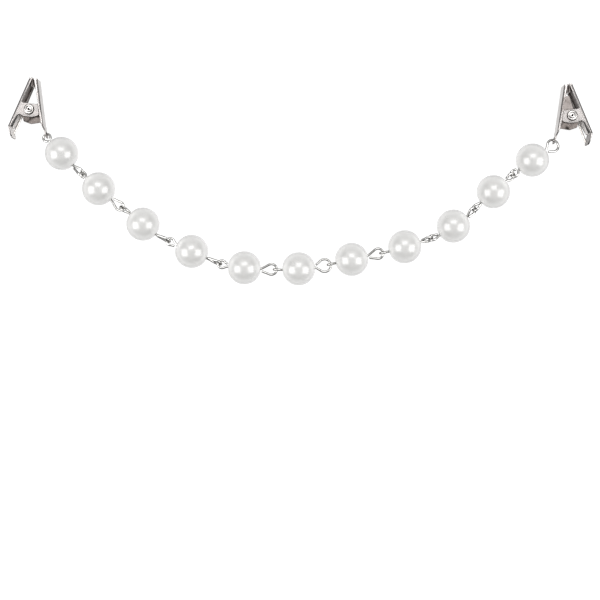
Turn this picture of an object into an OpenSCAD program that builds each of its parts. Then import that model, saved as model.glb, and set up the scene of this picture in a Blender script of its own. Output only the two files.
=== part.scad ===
// Pearl waist strand with a sprung sheet-metal clip at each end, lying flat.
// X runs along the strand, Y towards the jaws, Z up from the surface it lies on.

/* [Pearls] */
// Diameter of each imitation pearl
pearl_d = 10; // [9.5:0.1:10.2]
// Diameter of the hole through a pearl
pearl_hole_d = 1.1; // [0.9:0.1:1.5]

/* [Wire] */
// Diameter of the eye pins' wire
wire_d = 0.7; // [0.6:0.05:0.8]
// Play left between two linked loops
link_play = 0.2; // [0.1:0.05:0.3]
// Outer width of the loop at the strand's left end
left_loop_w = 3; // [2.9:0.1:3.3]
// Outer width of the loop at the strand's right end
right_loop_w = 4.3; // [3.6:0.1:4.4]
// Downward tilt of the two end loops, which hang into the clips' tabs
end_loop_tilt = 20; // [10:1:25]

/* [Clip] */
// Width of a clip over its outer cheeks
clip_w = 7.1; // [6.6:0.1:7.6]
// Thickness of the clip's sheet
sheet_t = 0.4; // [0.3:0.05:0.5]
// Play between the outer and the inner cheeks
cheek_play = 0.1; // [0.08:0.01:0.15]
// Angle between the two levers, shut
lever_angle = 31; // [28:1:34]
// Distance from the rivet's axis to the finger lever's back
finger_reach = 3.85; // [3.7:0.05:4.1]
// Distance from the rivet's axis to the ring lever's back
ring_reach = 3.5; // [3.3:0.05:3.6]
// Height of the jaws' tips above the rivet's axis
jaw_h = 9.6; // [9.2:0.1:9.8]
// Length of the finger lever's lip
lip_l = 3.7; // [3.2:0.1:4.2]
// Inward bend of the finger lever's lip
lip_bend = 38; // [30:1:45]
// Width of the ring lever's tab
tab_w = 3.4; // [3:0.1:3.8]
// Diameter of the hole in the tab
tab_hole_d = 1.6; // [1.4:0.1:1.7]
// Outward bend of the tab
tab_bend = 8; // [4:1:10]

/* [Rivet and spring] */
// Outer diameter of the rivet's barrel
rivet_d = 1.8; // [1.6:0.1:1.9]
// Diameter of the rivet's rolled heads
rivet_head_d = 3.2; // [2.8:0.1:3.4]
// Thickness of a rivet head
rivet_head_t = 0.4; // [0.3:0.05:0.5]
// Diameter of the hole through the rivet
rivet_hole_d = 0.9; // [0.7:0.1:1]
// Diameter of the spring's wire
spring_wire_d = 0.6; // [0.5:0.05:0.65]
// Number of turns in the spring
spring_turns = 7; // [5:1:8]

/* [Hidden] */
$fn = 48;

// The strand, pearl by pearl from the left, as it lies.
// Columns: centre x, centre y, direction of the hole, left loop's width and roll,
// right loop's length from the pearl, width and roll.
// A roll of 0 lays a loop flat, 90 stands it on edge. Linked loops are turned across each other.
X = 0;
Y = 1;
HOLE = 2;
LEFT_W = 3;
LEFT_ROLL = 4;
RIGHT_L = 5;
RIGHT_W = 6;
RIGHT_ROLL = 7;
strand = [
    [-71.5, 8.4, -46.5, left_loop_w, 0, 4.4, 3.4, 55],
    [-60.4, -2.2, -42, 2.4, 35, 4.8, 3.4, 25],
    [-47.1, -12.8, -39, 3, 65, 5, 3.4, 75],
    [-32.5, -21, -24, 2.9, 20, 5, 3.6, 75],
    [-16.7, -25.9, -4, 3, 0, 5.1, 3.9, 8],
    [-0.4, -26.2, 4, 2.5, 90, 5.1, 4.5, 0],
    [15.5, -23.4, 13, 2.4, 90, 5, 3.8, 12],
    [31.4, -19.6, 17, 2.8, 90, 4, 3.2, 62],
    [46, -13.4, 34, 3, 50, 3.9, 3.2, 50],
    [58, -3.1, 40, 3, 55, 3.5, 3.1, 45],
    [69.7, 6.4, 35, 3, 30, 4.9, right_loop_w, 0]
];
pearl_count = len(strand);
last = pearl_count - 1;
pearl_r = pearl_d / 2;
// Length of the left end loop from its pearl
left_end_l = left_loop_w + 0.1;

function centre(i) = [strand[i][X], strand[i][Y]];
function heading(v) = atan2(v[Y], v[X]);
function unit(v) = v / norm(v);
function toward(angle) = [cos(angle), sin(angle)];
function hole_angle(i) = strand[i][HOLE];
// Where a pearl's hole opens: side 1 is the right end, -1 the left
function mouth(i, side) = centre(i) + side * pearl_r * toward(hole_angle(i));
// From a pearl's right mouth to its neighbour's left one; both loops lie along it
function link(i) = mouth(i + 1, -1) - mouth(i, 1);
function left_yaw(i) = i == 0 ? 0 : heading(link(i - 1)) - hole_angle(i);
function right_yaw(i) = i == last ? 0 : heading(link(i)) - hole_angle(i);
function right_loop_l(i) = strand[i][RIGHT_L];
// A left loop is as long as its neighbour's loop needs to link with it
function left_loop_l(i) = i == 0
    ? left_end_l
    : norm(link(i - 1)) + 2 * wire_d + link_play - right_loop_l(i - 1);

// Points of an outline whose corners, given as [x, y, radius], are rounded
function rounded(corners, steps = 6) = [
    for (i = [0 : len(corners) - 1])
        let (
            n = len(corners),
            c = corners[i],
            p = [c[0], c[1]],
            before = corners[(i + n - 1) % n],
            after = corners[(i + 1) % n],
            to_before = unit([before[0], before[1]] - p),
            to_after = unit([after[0], after[1]] - p),
            half = acos(to_before * to_after) / 2,
            middle = p + unit(to_before + to_after) * c[2] / sin(half),
            start = heading(p + to_before * c[2] / tan(half) - middle),
            turn = heading(p + to_after * c[2] / tan(half) - middle) - start,
            sweep = turn > 180 ? turn - 360 : turn < -180 ? turn + 360 : turn
        )
        each c[2] == 0 ? [p] : [
            for (k = [0 : steps])
                middle + c[2] * [cos(start + sweep * k / steps), sin(start + sweep * k / steps)]
        ]
];

// The clip's own frame: the rivet's axis at the origin, the jaws along +Y,
// the finger lever on the left and the ring lever on the right.
half_angle = lever_angle / 2;
clip_z = rivet_head_t + 0.05;
clip_top = clip_z + clip_w;
mid_z = clip_z + clip_w / 2;
inner_z = clip_z + sheet_t + cheek_play;
inner_w = clip_w - 2 * (sheet_t + cheek_play);
bore_d = rivet_d + 0.1;
cut_over = 1;

function finger_x(y) = -finger_reach / cos(half_angle) + y * tan(half_angle);
function ring_x(y) = ring_reach / cos(half_angle) - y * tan(half_angle);

// Heights, along the clip, of the levers' features
window_y = 1.85;
heel_y = -5.7;
channel_end_y = -3.9;
jaw_gap = 0.12;
// The jaws' tips are folded over to the middle: how far the fold reaches down, and
// how far it stands back from the edge
fold_drop = 0.5;
fold_back = 0.25;
// A gripping pad goes on down the inside of each jaw, set in from the cheeks
pad_l = 2.5;
pad_inset = 0.5;
// The backs end this far below the jaws' tips, where the fold starts
back_drop = 0.3;
jaw_x = (finger_x(jaw_h) + ring_x(jaw_h)) / 2;

// The finger lever's cheek, with this much sheet beside its back at the window's foot
margin_high = 0.85;
margin_low = 1.3;
function finger_cheek(margin) = rounded([
    [finger_x(jaw_h), jaw_h, 0.3],
    [jaw_x - jaw_gap / 2, jaw_h, 0.1],
    [finger_x(window_y) + margin, window_y, 0.45],
    [ring_x(window_y) - 0.75, window_y, 0.15],
    [ring_x(-1.3) - 0.75, -1.3, 0.7],
    [1.2, -2.25, 0.8],
    [-1.4, -2.25, 0.8],
    [-2.6, -1.75, 0.6],
    [-3.4, -2.3, 0.8],
    [finger_x(heel_y) + 0.4, heel_y, 0.1],
    [finger_x(heel_y), heel_y, 0]
]);

// The ring lever's cheek, which bulges below the rivet to three given corners
bulge_high = [[3.8, -3.4], [1.2, -4.2], [-1.15, -3.7]];
bulge_low = [[2.5, -2.8], [-0.1, -3.6], [-2.4, -3.15]];
function ring_cheek(bulge) = rounded([
    [ring_x(jaw_h), jaw_h, 0.3],
    [ring_x(channel_end_y), channel_end_y, 0.1],
    [ring_x(channel_end_y) - 0.4, channel_end_y, 0.1],
    [bulge[0][X], bulge[0][Y], 0.3],
    [bulge[1][X], bulge[1][Y], 1],
    [bulge[2][X], bulge[2][Y], 0.5],
    [-2.4, -0.4, 1],
    [-1.6, 1.6, 0.8],
    [1.4, 1.75, 0.5],
    [ring_x(2.2) - 0.7, 2.2, 0.3],
    [jaw_x + jaw_gap / 2, jaw_h, 0.1]
]);

// Web across the window, on the upper cheek of the right clip's ring lever
window_web = rounded([
    [ring_x(6) - 0.3, 6, 0],
    [0.05, 6, 0.2],
    [-0.8, 1.5, 0],
    [ring_x(1.5) - 0.3, 1.5, 0]
]);

lip_corner_r = 1.8;

// The ring lever's tab, along its length from the end of the channel
tab_start = [ring_x(channel_end_y), channel_end_y];
tab_angle = half_angle + tab_bend - 90;
tab_along = toward(tab_angle);
tab_inward = [sin(tab_angle), -cos(tab_angle)];
shoulder_s = 0.3;
shoulder_l = 1;
tab_corner_r = 1.2;
tab_hole_s = 2.5;
tab_l = tab_hole_s + 1.3;
tab_hole = tab_start + tab_hole_s * tab_along + sheet_t / 2 * tab_inward;

// Across a plate that leaves a point at an angle: X along it, Y across the clip
module plate_at(point, angle) {
    translate([point[X], point[Y], mid_z])
        rotate([0, 0, angle])
            rotate([90, 0, 0])
                children();
}

module cheek_bores() {
    translate([0, 0, -cut_over])
        cylinder(h = clip_top + 2 * cut_over, d = bore_d);
}

// A jaw's fold and pad; its face is at face_x, with the lever on the side of to_lever
module jaw(edge_x, back_x, face_x, to_lever, z, width) {
    pad_x = face_x + to_lever * sheet_t;
    inset = sheet_t + pad_inset;
    translate([0, 0, z])
        linear_extrude(width)
            polygon([
                [edge_x, jaw_h],
                [back_x, jaw_h - fold_drop],
                [face_x, jaw_h - fold_drop],
                [face_x, jaw_h]
            ]);
    translate([0, 0, z + inset])
        linear_extrude(width - 2 * inset)
            polygon([
                [pad_x, jaw_h - fold_drop / 2],
                [pad_x, jaw_h - pad_l],
                [face_x, jaw_h - pad_l],
                [face_x, jaw_h - fold_drop / 2]
            ]);
}

module finger_lever_shape() {
    inward = [cos(half_angle), -sin(half_angle)];
    tip = [finger_x(jaw_h - back_drop), jaw_h - back_drop];
    heel = [finger_x(heel_y), heel_y];
    difference() {
        union() {
            translate([0, 0, clip_z])
                linear_extrude(sheet_t)
                    polygon(finger_cheek(margin_low));
            translate([0, 0, clip_top - sheet_t])
                linear_extrude(sheet_t)
                    polygon(finger_cheek(margin_high));
            translate([0, 0, clip_z])
                linear_extrude(clip_w)
                    polygon([tip, heel, heel + sheet_t * inward, tip + sheet_t * inward]);
            jaw(
                finger_x(jaw_h) + fold_back, finger_x(jaw_h - fold_drop),
                jaw_x - jaw_gap / 2, -1, clip_z, clip_w
            );
            plate_at(heel, lip_bend - half_angle - 90)
                translate([0, 0, -sheet_t])
                    linear_extrude(sheet_t)
                        polygon(rounded([
                            [0, -clip_w / 2, 0],
                            [lip_l, -clip_w / 2, lip_corner_r],
                            [lip_l, clip_w / 2, lip_corner_r],
                            [0, clip_w / 2, 0]
                        ]));
        }
        cheek_bores();
    }
}

module ring_lever_shape(webbed) {
    inward = [-cos(half_angle), -sin(half_angle)];
    tip = [ring_x(jaw_h - back_drop), jaw_h - back_drop];
    channel_end = [ring_x(channel_end_y), channel_end_y];
    difference() {
        union() {
            translate([0, 0, inner_z])
                linear_extrude(sheet_t)
                    polygon(ring_cheek(bulge_low));
            translate([0, 0, inner_z + inner_w - sheet_t])
                linear_extrude(sheet_t)
                    polygon(ring_cheek(bulge_high));
            if (webbed)
                translate([0, 0, inner_z + inner_w - sheet_t])
                    linear_extrude(sheet_t)
                        polygon(window_web);
            translate([0, 0, inner_z])
                linear_extrude(inner_w)
                    polygon([
                        tip,
                        channel_end,
                        channel_end + sheet_t * inward,
                        tip + sheet_t * inward
                    ]);
            jaw(
                ring_x(jaw_h) - fold_back, ring_x(jaw_h - fold_drop),
                jaw_x + jaw_gap / 2, 1, inner_z, inner_w
            );
            plate_at(tab_start, tab_angle)
                linear_extrude(sheet_t)
                    polygon(rounded([
                        [-sheet_t, -inner_w / 2, 0],
                        [shoulder_s, -inner_w / 2, 0.2],
                        [shoulder_s + shoulder_l, -tab_w / 2, 0.5],
                        [tab_l, -tab_w / 2, tab_corner_r],
                        [tab_l, tab_w / 2, tab_corner_r],
                        [shoulder_s + shoulder_l, tab_w / 2, 0.5],
                        [shoulder_s, inner_w / 2, 0.2],
                        [-sheet_t, inner_w / 2, 0]
                    ]));
        }
        cheek_bores();
        plate_at(tab_start, tab_angle)
            translate([tab_hole_s, 0, -cut_over])
                cylinder(h = sheet_t + 2 * cut_over, d = tab_hole_d);
    }
}

// Depth of the dish round the rivet's hole, its width, and the heads' rounded-off edge
dish_h = 0.2;
dish_w = 0.3;
head_edge = 0.15;

module rivet_shape() {
    head_r = rivet_head_d / 2;
    barrel_r = rivet_d / 2;
    hole_r = rivet_hole_d / 2;
    top = clip_top + clip_z;
    rotate_extrude()
        polygon([
            [hole_r, dish_h],
            [hole_r + dish_w, 0],
            [head_r - head_edge, 0],
            [head_r, head_edge],
            [head_r, rivet_head_t],
            [barrel_r, rivet_head_t],
            [barrel_r, top - rivet_head_t],
            [head_r, top - rivet_head_t],
            [head_r, top - head_edge],
            [head_r - head_edge, top],
            [hole_r + dish_w, top],
            [hole_r, top - dish_h]
        ]);
}

// The spring's turns overlap a little, and its arms are a touch thinner than they are.
// The arms leave the coil above the rivet's axis and end beside the levers' backs.
turn_pitch = spring_wire_d * 0.92;
spring_arm_d = spring_wire_d * 0.96;
spring_play = 0.2;
arm_start_y = 0.5;
finger_arm_y = -5;
ring_arm_y = -3.6;
arm_play = 0.08;

module spring_arm(from, to) {
    along = to - from;
    translate(from)
        rotate([0, acos(along[2] / norm(along)), heading(along)])
            cylinder(h = norm(along), d = spring_arm_d);
}

module spring_shape() {
    coil_r = rivet_d / 2 + spring_play + spring_wire_d / 2;
    low = mid_z - turn_pitch * (spring_turns - 1) / 2;
    high = mid_z + turn_pitch * (spring_turns - 1) / 2;
    arm_gap = sheet_t + spring_wire_d / 2 + arm_play;
    rotate_extrude()
        for (k = [0 : spring_turns - 1])
            translate([coil_r, low + k * turn_pitch])
                circle(d = spring_wire_d);
    spring_arm([-coil_r, arm_start_y, high], [finger_x(finger_arm_y) + arm_gap, finger_arm_y, high]);
    spring_arm([coil_r, arm_start_y, low], [ring_x(ring_arm_y) - arm_gap, ring_arm_y, low]);
}

// A pin's straight wire and its necks are a touch thinner than its loops, and end inside them
shank_d = wire_d * 0.96;
neck_d = wire_d * 0.98;
neck_over = wire_d * 0.6;

// One end of a pin, from its pearl's mouth along +X, with its loop rolled and tilted
module pin_end(length, width, roll, tilt) {
    neck = length - width;
    ring_r = (width - wire_d) / 2;
    sphere(d = wire_d);
    rotate([roll, 0, 0]) {
        rotate([0, 90, 0])
            cylinder(h = neck + neck_over, d = neck_d);
        translate([neck + wire_d / 2, 0, 0])
            rotate([0, tilt, 0])
                translate([ring_r, 0, 0])
                    rotate_extrude()
                        translate([ring_r, 0])
                            circle(d = wire_d);
    }
}

module pin(i) {
    color([0.78, 0.78, 0.77])
        translate([strand[i][X], strand[i][Y], pearl_r])
            rotate([0, 0, hole_angle(i)]) {
                translate([-pearl_r, 0, 0])
                    rotate([0, 90, 0])
                        cylinder(h = pearl_d, d = shank_d);
                translate([pearl_r, 0, 0])
                    rotate([0, 0, right_yaw(i)])
                        pin_end(right_loop_l(i), strand[i][RIGHT_W], strand[i][RIGHT_ROLL],
                            i == last ? end_loop_tilt : 0);
                translate([-pearl_r, 0, 0])
                    rotate([0, 0, 180 + left_yaw(i)])
                        pin_end(left_loop_l(i), strand[i][LEFT_W], strand[i][LEFT_ROLL],
                            i == 0 ? end_loop_tilt : 0);
            }
}

module pearl(i) {
    color([0.95, 0.94, 0.92])
        translate([strand[i][X], strand[i][Y], pearl_r])
            rotate([0, 0, hole_angle(i)])
                rotate([0, 90, 0])
                    difference() {
                        sphere(d = pearl_d);
                        cylinder(h = pearl_d + 2 * cut_over, d = pearl_hole_d, center = true);
                    }
}

// Each clip hangs with its tab's hole on the end loop's wire
left_turn = -8.5;
right_turn = 7.3;

function turned(v, angle) = [
    v[X] * cos(angle) - v[Y] * sin(angle),
    v[X] * sin(angle) + v[Y] * cos(angle)
];
function loop_middle(i, angle, length, width) =
    centre(i) + (pearl_r + length - width + wire_d / 2
        + (width - wire_d) / 2 * cos(end_loop_tilt)) * toward(angle);

left_middle = loop_middle(0, hole_angle(0) + 180, left_end_l, left_loop_w);
right_middle = loop_middle(last, hole_angle(last), right_loop_l(last), right_loop_w);
left_pivot = left_middle
    - (left_loop_w - wire_d) / 2 * turned(tab_along, left_turn)
    - turned(tab_hole, left_turn);
right_pivot = right_middle
    - (right_loop_w - wire_d) / 2 * turned([-tab_along[X], tab_along[Y]], right_turn)
    - turned([-tab_hole[X], tab_hole[Y]], right_turn);

module left_clip() {
    translate([left_pivot[X], left_pivot[Y], 0])
        rotate([0, 0, left_turn])
            children();
}

module right_clip() {
    translate([right_pivot[X], right_pivot[Y], 0])
        rotate([0, 0, right_turn])
            mirror([1, 0, 0])
                children();
}

module left_ring_lever() { color([0.72, 0.70, 0.68]) left_clip() ring_lever_shape(false); }
module left_finger_lever() { color([0.76, 0.73, 0.71]) left_clip() finger_lever_shape(); }
module left_rivet() { color([0.8, 0.79, 0.78]) left_clip() rivet_shape(); }
module left_spring() { color([0.6, 0.58, 0.55]) left_clip() spring_shape(); }
module right_ring_lever() { color([0.72, 0.70, 0.68]) right_clip() ring_lever_shape(true); }
module right_finger_lever() { color([0.76, 0.73, 0.71]) right_clip() finger_lever_shape(); }
module right_rivet() { color([0.8, 0.79, 0.78]) right_clip() rivet_shape(); }
module right_spring() { color([0.6, 0.58, 0.55]) right_clip() spring_shape(); }

for (i = [0 : pearl_count - 1]) {
    pearl(i);
    pin(i);
}
left_ring_lever();
left_finger_lever();
left_rivet();
left_spring();
right_ring_lever();
right_finger_lever();
right_rivet();
right_spring();
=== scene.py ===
# Pearl waist strand with a sprung clip at each end, lying on a white table
import math
from collections import namedtuple

import bmesh
import bpy
from mathutils import Matrix, Vector


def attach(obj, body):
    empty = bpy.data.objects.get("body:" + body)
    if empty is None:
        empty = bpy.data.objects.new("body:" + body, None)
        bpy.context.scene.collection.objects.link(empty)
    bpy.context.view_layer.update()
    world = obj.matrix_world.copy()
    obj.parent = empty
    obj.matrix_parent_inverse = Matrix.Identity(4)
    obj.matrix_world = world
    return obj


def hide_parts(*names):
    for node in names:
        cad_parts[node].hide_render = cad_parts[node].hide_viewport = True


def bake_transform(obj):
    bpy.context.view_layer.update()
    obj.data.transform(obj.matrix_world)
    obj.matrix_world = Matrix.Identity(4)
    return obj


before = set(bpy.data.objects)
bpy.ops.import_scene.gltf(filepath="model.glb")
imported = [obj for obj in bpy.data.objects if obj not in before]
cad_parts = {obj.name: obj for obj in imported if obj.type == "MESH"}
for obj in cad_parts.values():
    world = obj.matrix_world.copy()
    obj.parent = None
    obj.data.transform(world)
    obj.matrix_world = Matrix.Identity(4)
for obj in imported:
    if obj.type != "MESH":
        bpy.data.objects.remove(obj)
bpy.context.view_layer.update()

# Lengths are millimetres and angles degrees; the finished mesh is scaled to metres
mm = 0.001


# Helpers

rad = math.radians


def spin(axis, degrees):
    return Matrix.Rotation(rad(degrees), 4, axis)


def shift(x, y, z):
    return Matrix.Translation((x, y, z))


def addObject(name, data):
    thing = bpy.data.objects.new(name, data)
    bpy.context.scene.collection.objects.link(thing)
    return thing


def addMesh(name, points, faces, edges=()):
    mesh = bpy.data.meshes.new(name)
    mesh.from_pydata([tuple(p) for p in points], list(edges), list(faces))
    mesh.update()
    return addObject(name, mesh)


def bake(thing):
    graph = bpy.context.evaluated_depsgraph_get()
    mesh = bpy.data.meshes.new_from_object(
        thing.evaluated_get(graph), preserve_all_data_layers=True, depsgraph=graph
    )
    old = thing.data
    name = old.name
    thing.modifiers.clear()
    thing.data = mesh
    if old.users == 0:
        bpy.data.meshes.remove(old)
    mesh.name = name
    return thing


def dropObject(thing):
    mesh = thing.data
    bpy.data.objects.remove(thing)
    if mesh.users == 0:
        bpy.data.meshes.remove(mesh)


def carve(thing, tool, operation):
    modifier = thing.modifiers.new("carve", "BOOLEAN")
    modifier.operation = operation
    modifier.solver = "EXACT"
    modifier.object = tool
    bake(thing)
    dropObject(tool)
    return thing


def weightNormals(thing):
    weighted = thing.modifiers.new("weighted", "WEIGHTED_NORMAL")
    weighted.keep_sharp = True
    return bake(thing)


# Rounds the sharp edges; shading is the material slot of the rounding, -1 its neighbours'. The levers give
# their roundings black painted shade
def softenEdges(thing, width, segments=2, shading=-1):
    modifier = thing.modifiers.new("soften", "BEVEL")
    modifier.material = shading
    modifier.width = width
    modifier.segments = segments
    modifier.limit_method = "ANGLE"
    modifier.angle_limit = rad(35)
    modifier.use_clamp_overlap = False
    thing.data.shade_smooth()
    return weightNormals(thing)


def joinParts(name, parts):
    points = []
    faces = []
    marks = []
    for part in parts:
        start = len(points)
        points.extend(v.co.copy() for v in part.data.vertices)
        faces.extend([i + start for i in f.vertices] for f in part.data.polygons)
        marks.extend(f.material_index for f in part.data.polygons)
    whole = addMesh(name, points, faces)
    for material in parts[0].data.materials:
        whole.data.materials.append(material)
    whole.data.polygons.foreach_set("material_index", marks)
    for part in parts:
        dropObject(part)
    return whole


def place(thing, matrix):
    thing.data.transform(Matrix.Scale(mm, 4) @ matrix)
    if matrix.determinant() < 0:
        thing.data.flip_normals()
    thing.data.update()


def smoothMesh(thing, sharpAngle):
    thing.data.shade_smooth()
    thing.data.set_sharp_from_angle(angle=rad(sharpAngle))
    weightNormals(thing)


def arcPoints(x, y, radius, start, end, steps):
    angles = [rad(start + (end - start) * k / steps) for k in range(steps + 1)]
    return [(x + radius * math.cos(a), y + radius * math.sin(a)) for a in angles]


# Corners given as (x, y, radius) become an outline with rounded corners
def roundedOutline(corners, stepLength=0.09, fewest=2, most=14):
    outline = []
    count = len(corners)
    for i in range(count):
        x, y, radius = corners[i]
        corner = Vector((x, y))
        if radius == 0:
            outline.append((x, y))
            continue
        before = (Vector(corners[i - 1][:2]) - corner).normalized()
        after = (Vector(corners[(i + 1) % count][:2]) - corner).normalized()
        half = before.angle(after) / 2
        middle = corner + (before + after).normalized() * radius / math.sin(half)
        first = corner + before * radius / math.tan(half) - middle
        last = corner + after * radius / math.tan(half) - middle
        startAngle = math.atan2(first.y, first.x)
        sweep = math.atan2(last.y, last.x) - startAngle
        sweep = (sweep + math.pi) % (2 * math.pi) - math.pi
        steps = max(fewest, min(most, round(abs(sweep) * radius / stepLength)))
        start = math.degrees(startAngle)
        end = math.degrees(startAngle + sweep)
        outline += arcPoints(middle.x, middle.y, radius, start, end, steps)
    return outline


def prism(name, outline, low, high):
    area = sum(
        outline[i - 1][0] * outline[i][1] - outline[i][0] * outline[i - 1][1]
        for i in range(len(outline))
    )
    if area < 0:
        outline = outline[::-1]
    count = len(outline)
    points = [(x, y, low) for x, y in outline] + [(x, y, high) for x, y in outline]
    faces = [list(reversed(range(count))), list(range(count, 2 * count))]
    for i in range(count):
        j = (i + 1) % count
        faces.append([i, j, j + count, i + count])
    return addMesh(name, points, faces)


# A profile of (radius, height) points, turned about Z; the profile runs
# with the material on its left and closes on itself
def lathe(name, profile, segments):
    points = []
    faces = []
    count = len(profile)
    for s in range(segments):
        angle = 2 * math.pi * s / segments
        points.extend((r * math.cos(angle), r * math.sin(angle), z) for r, z in profile)
    for s in range(segments):
        t = (s + 1) % segments
        for i in range(count):
            j = (i + 1) % count
            faces.append([s * count + i, t * count + i, t * count + j, s * count + j])
    return addMesh(name, points, faces)


def disc(name, radius, low, high, segments=40):
    return prism(name, arcPoints(0, 0, radius, 0, 360, segments)[:-1], low, high)


# Node trees

# Inputs of a group by name: kind, default, lowest, highest
def addInputs(tree, inputs):
    for name, (kind, *limits) in inputs.items():
        socket = tree.interface.new_socket(name=name, in_out="INPUT", socket_type="NodeSocket" + kind)
        for field, value in zip(("default_value", "min_value", "max_value"), limits):
            setattr(socket, field, value)


def addOutputs(tree, outputs):
    for name, kind in outputs.items():
        tree.interface.new_socket(name=name, in_out="OUTPUT", socket_type="NodeSocket" + kind)


# An input is given as a number, or as the socket that feeds it
def addNode(tree, kind, x, y, inputs=None, **values):
    node = tree.nodes.new(kind)
    node.location = (x, y)
    for key, value in values.items():
        setattr(node, key, value)
    for key, value in (inputs or {}).items():
        if isinstance(value, bpy.types.NodeSocket):
            tree.links.new(value, node.inputs[key])
        else:
            node.inputs[key].default_value = value
    return node


# Ends a geometry tree: smooth shading, real geometry, material
def finishTree(tree, source, geometry, x):
    smooth = addNode(tree, "GeometryNodeSetShadeSmooth", x, 100, {"Geometry": geometry})
    realize = addNode(tree, "GeometryNodeRealizeInstances", x + 180, 100, {
        "Geometry": smooth.outputs["Geometry"],
    })
    paint = addNode(tree, "GeometryNodeSetMaterial", x + 360, 100, {
        "Geometry": realize.outputs["Geometry"],
        "Material": source.outputs["Material"],
    })
    addNode(tree, "NodeGroupOutput", x + 540, 100, {"Geometry": paint.outputs["Geometry"]})
    return tree


def addMath(tree, operation, x, y, first, second):
    node = addNode(tree, "ShaderNodeMath", x, y, {0: first, 1: second}, operation=operation)
    return node.outputs[0]


# A Mix node's sockets go by number, because some share one name
def addColorMix(tree, x, y, factor, colorA, colorB, blend="MIX"):
    inputs = {0: factor, 6: colorA, 7: colorB}
    node = addNode(tree, "ShaderNodeMix", x, y, inputs, data_type="RGBA", blend_type=blend)
    return node.outputs[2]


# A modifier's input goes by its socket's identifier
def socketKey(tree, name):
    for item in tree.interface.items_tree:
        if item.item_type == "SOCKET" and item.in_out == "INPUT" and item.name == name:
            return item.identifier
    raise KeyError(name)


def runTree(thing, tree, values):
    modifier = thing.modifiers.new(tree.name, "NODES")
    modifier.node_group = tree
    for name, value in values.items():
        modifier[socketKey(tree, name)] = value
    bpy.context.view_layer.update()
    return bake(thing)


# Sweeps a round wire along a chain of edges and rounds off its two cut ends
def makeWireTree():
    tree = bpy.data.node_groups.new("wireSweep", "GeometryNodeTree")
    addInputs(tree, {
        "Geometry": ("Geometry",),
        "Wire Radius": ("Float", 0.35, 0.05, 2),
        "End Rounding": ("Float", 0.12, 0.01, 1),
        "Point Spacing": ("Float", 0.09, 0.02, 1),
        "Sides": ("Int", 16, 6, 48),
        "Material": ("Material",),
    })
    addOutputs(tree, {"Geometry": "Geometry"})
    source = addNode(tree, "NodeGroupInput", -900, 0)
    curve = addNode(tree, "GeometryNodeMeshToCurve", -700, 100, {"Mesh": source.outputs["Geometry"]})
    resample = addNode(tree, "GeometryNodeResampleCurve", -520, 100, {
        "Curve": curve.outputs["Curve"],
        "Length": source.outputs["Point Spacing"],
    }, mode="LENGTH")
    parameter = addNode(tree, "GeometryNodeSplineParameter", -900, -300)
    splineLength = addNode(tree, "GeometryNodeSplineLength", -900, -420)
    fromStart = parameter.outputs["Length"]
    fromEnd = addMath(tree, "SUBTRACT", -700, -360, splineLength.outputs["Length"], fromStart)
    nearest = addMath(tree, "MINIMUM", -520, -320, fromStart, fromEnd)
    share = addNode(tree, "ShaderNodeMapRange", -340, -300, {
        "Value": nearest,
        "From Max": source.outputs["End Rounding"],
        "To Min": 0.72,
        "To Max": 1.0,
    }, interpolation_type="SMOOTHSTEP")
    wireRadius = source.outputs["Wire Radius"]
    radius = addMath(tree, "MULTIPLY", -160, -260, share.outputs["Result"], wireRadius)
    circle = addNode(tree, "GeometryNodeCurvePrimitiveCircle", 0, -120, {
        "Resolution": source.outputs["Sides"],
        "Radius": 1.0,
    }, mode="RADIUS")
    sweep = addNode(tree, "GeometryNodeCurveToMesh", 200, 100, {
        "Curve": resample.outputs["Curve"],
        "Profile Curve": circle.outputs["Curve"],
        "Scale": radius,
        "Fill Caps": True,
    })
    return finishTree(tree, source, sweep.outputs["Mesh"], 380)


# Presses faint waves into a pearl's skin, as a dipped coating dries
def makeSkinTree():
    tree = bpy.data.node_groups.new("pearlSkin", "GeometryNodeTree")
    addInputs(tree, {
        "Geometry": ("Geometry",),
        "Wave Height": ("Float", 0.01, 0, 0.2),
        "Wave Scale": ("Float", 0.3, 0.01, 5),
        "Seed": ("Float", 0),
        "Material": ("Material",),
    })
    addOutputs(tree, {"Geometry": "Geometry"})
    source = addNode(tree, "NodeGroupInput", -800, 0)
    noise = addNode(tree, "ShaderNodeTexNoise", -600, -200, {
        "Scale": source.outputs["Wave Scale"],
        "W": source.outputs["Seed"],
        "Detail": 1.0,
    }, noise_dimensions="4D")
    depth = addMath(tree, "MULTIPLY", -400, -200, noise.outputs[0], source.outputs["Wave Height"])
    inward = addMath(tree, "MULTIPLY", -220, -200, depth, -1.0)
    position = addNode(tree, "GeometryNodeInputPosition", -400, -400)
    outward = addNode(tree, "ShaderNodeVectorMath", -220, -400, {
        0: position.outputs["Position"],
    }, operation="NORMALIZE")
    offset = addNode(tree, "ShaderNodeVectorMath", -40, -300, {
        0: outward.outputs["Vector"],
        "Scale": inward,
    }, operation="SCALE")
    move = addNode(tree, "GeometryNodeSetPosition", 140, 0, {
        "Geometry": source.outputs["Geometry"],
        "Offset": offset.outputs["Vector"],
    })
    return finishTree(tree, source, move.outputs["Geometry"], 320)


wireTree = makeWireTree()
skinTree = makeSkinTree()


# Materials

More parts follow.
